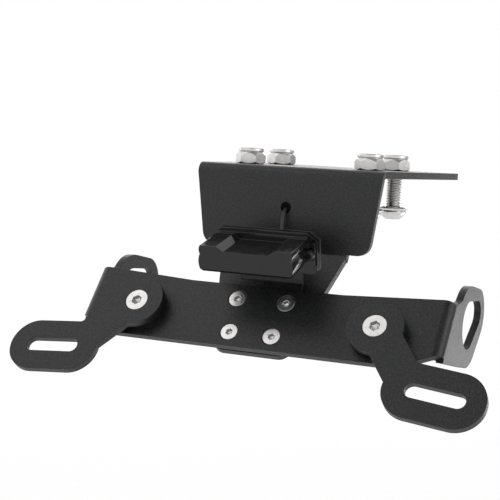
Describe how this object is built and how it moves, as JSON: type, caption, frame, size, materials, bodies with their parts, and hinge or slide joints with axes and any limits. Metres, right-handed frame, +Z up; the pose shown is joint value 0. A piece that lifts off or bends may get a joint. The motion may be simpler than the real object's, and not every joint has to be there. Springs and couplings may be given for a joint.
{
  "type": "motorbike tail tidy",
  "caption": "Folded steel number-plate bracket for a motorbike tail, with swivelling slotted plate arms, indicator tabs and a small plate lamp.",
  "frame": {"origin": "on the underside of the top flange, in the middle of its bolt pattern", "axes": "+X across the bike to the right of the picture, +Y under the tail away from the plate, +Z up"},
  "size_m": [0.1751, 0.1146, 0.0841],
  "materials": {
    "powder_coat": "fine textured satin black powder coat",
    "stainless": "plain stainless steel",
    "lamp_black": "moulded black plastic, semi-gloss",
    "black_screw": "blackened steel",
    "lens": "clear moulded lens",
    "rubber": "black rubber",
    "lead_sheath": "black flexible sheath",
    "board": "white circuit board",
    "led": "light-emitting diodes",
    "plug_black": "moulded plug"
  },
  "bodies": {
    "bracket": {"mount_bracket": "powder_coat", "plate_crossbar": "powder_coat", "light_bracket": "powder_coat", "crossbar_screws": "stainless", "crossbar_nuts": "stainless", "arm_spacers": "stainless", "arm_screws": "stainless", "arm_nuts": "stainless", "tail_bolts": "stainless", "tail_washers": "stainless", "tail_nuts": "stainless", "lamp_spacers": "rubber", "lamp_gasket": "rubber", "lamp_base": "lamp_black", "lamp_hood": "lamp_black", "lamp_lens": "lens", "lamp_board": "board", "lamp_leds": "led", "lamp_hood_screws": "black_screw", "lamp_base_screws": "black_screw", "lead_grommet": "rubber", "lead_bush": "rubber", "light_lead": "lead_sheath", "lead_coil": "lead_sheath", "coil_tie": "plug_black", "lead_plug": "plug_black"},
    "left_arm": {"left_plate_arm": "powder_coat"},
    "right_arm": {"right_plate_arm": "powder_coat"}
  },
  "joints": [
    {"name": "left_arm_swivel", "type": "hinge", "parent": "bracket", "child": "left_arm", "pos_m": [-0.0449, -0.06165, -0.04766], "axis": [0, 0.7859, -0.6184], "range_deg": [-45, 40]},
    {"name": "right_arm_swivel", "type": "hinge", "parent": "bracket", "child": "right_arm", "pos_m": [0.0449, -0.06165, -0.04766], "axis": [0, -0.7859, 0.6184], "range_deg": [-45, 40]}
  ]
}
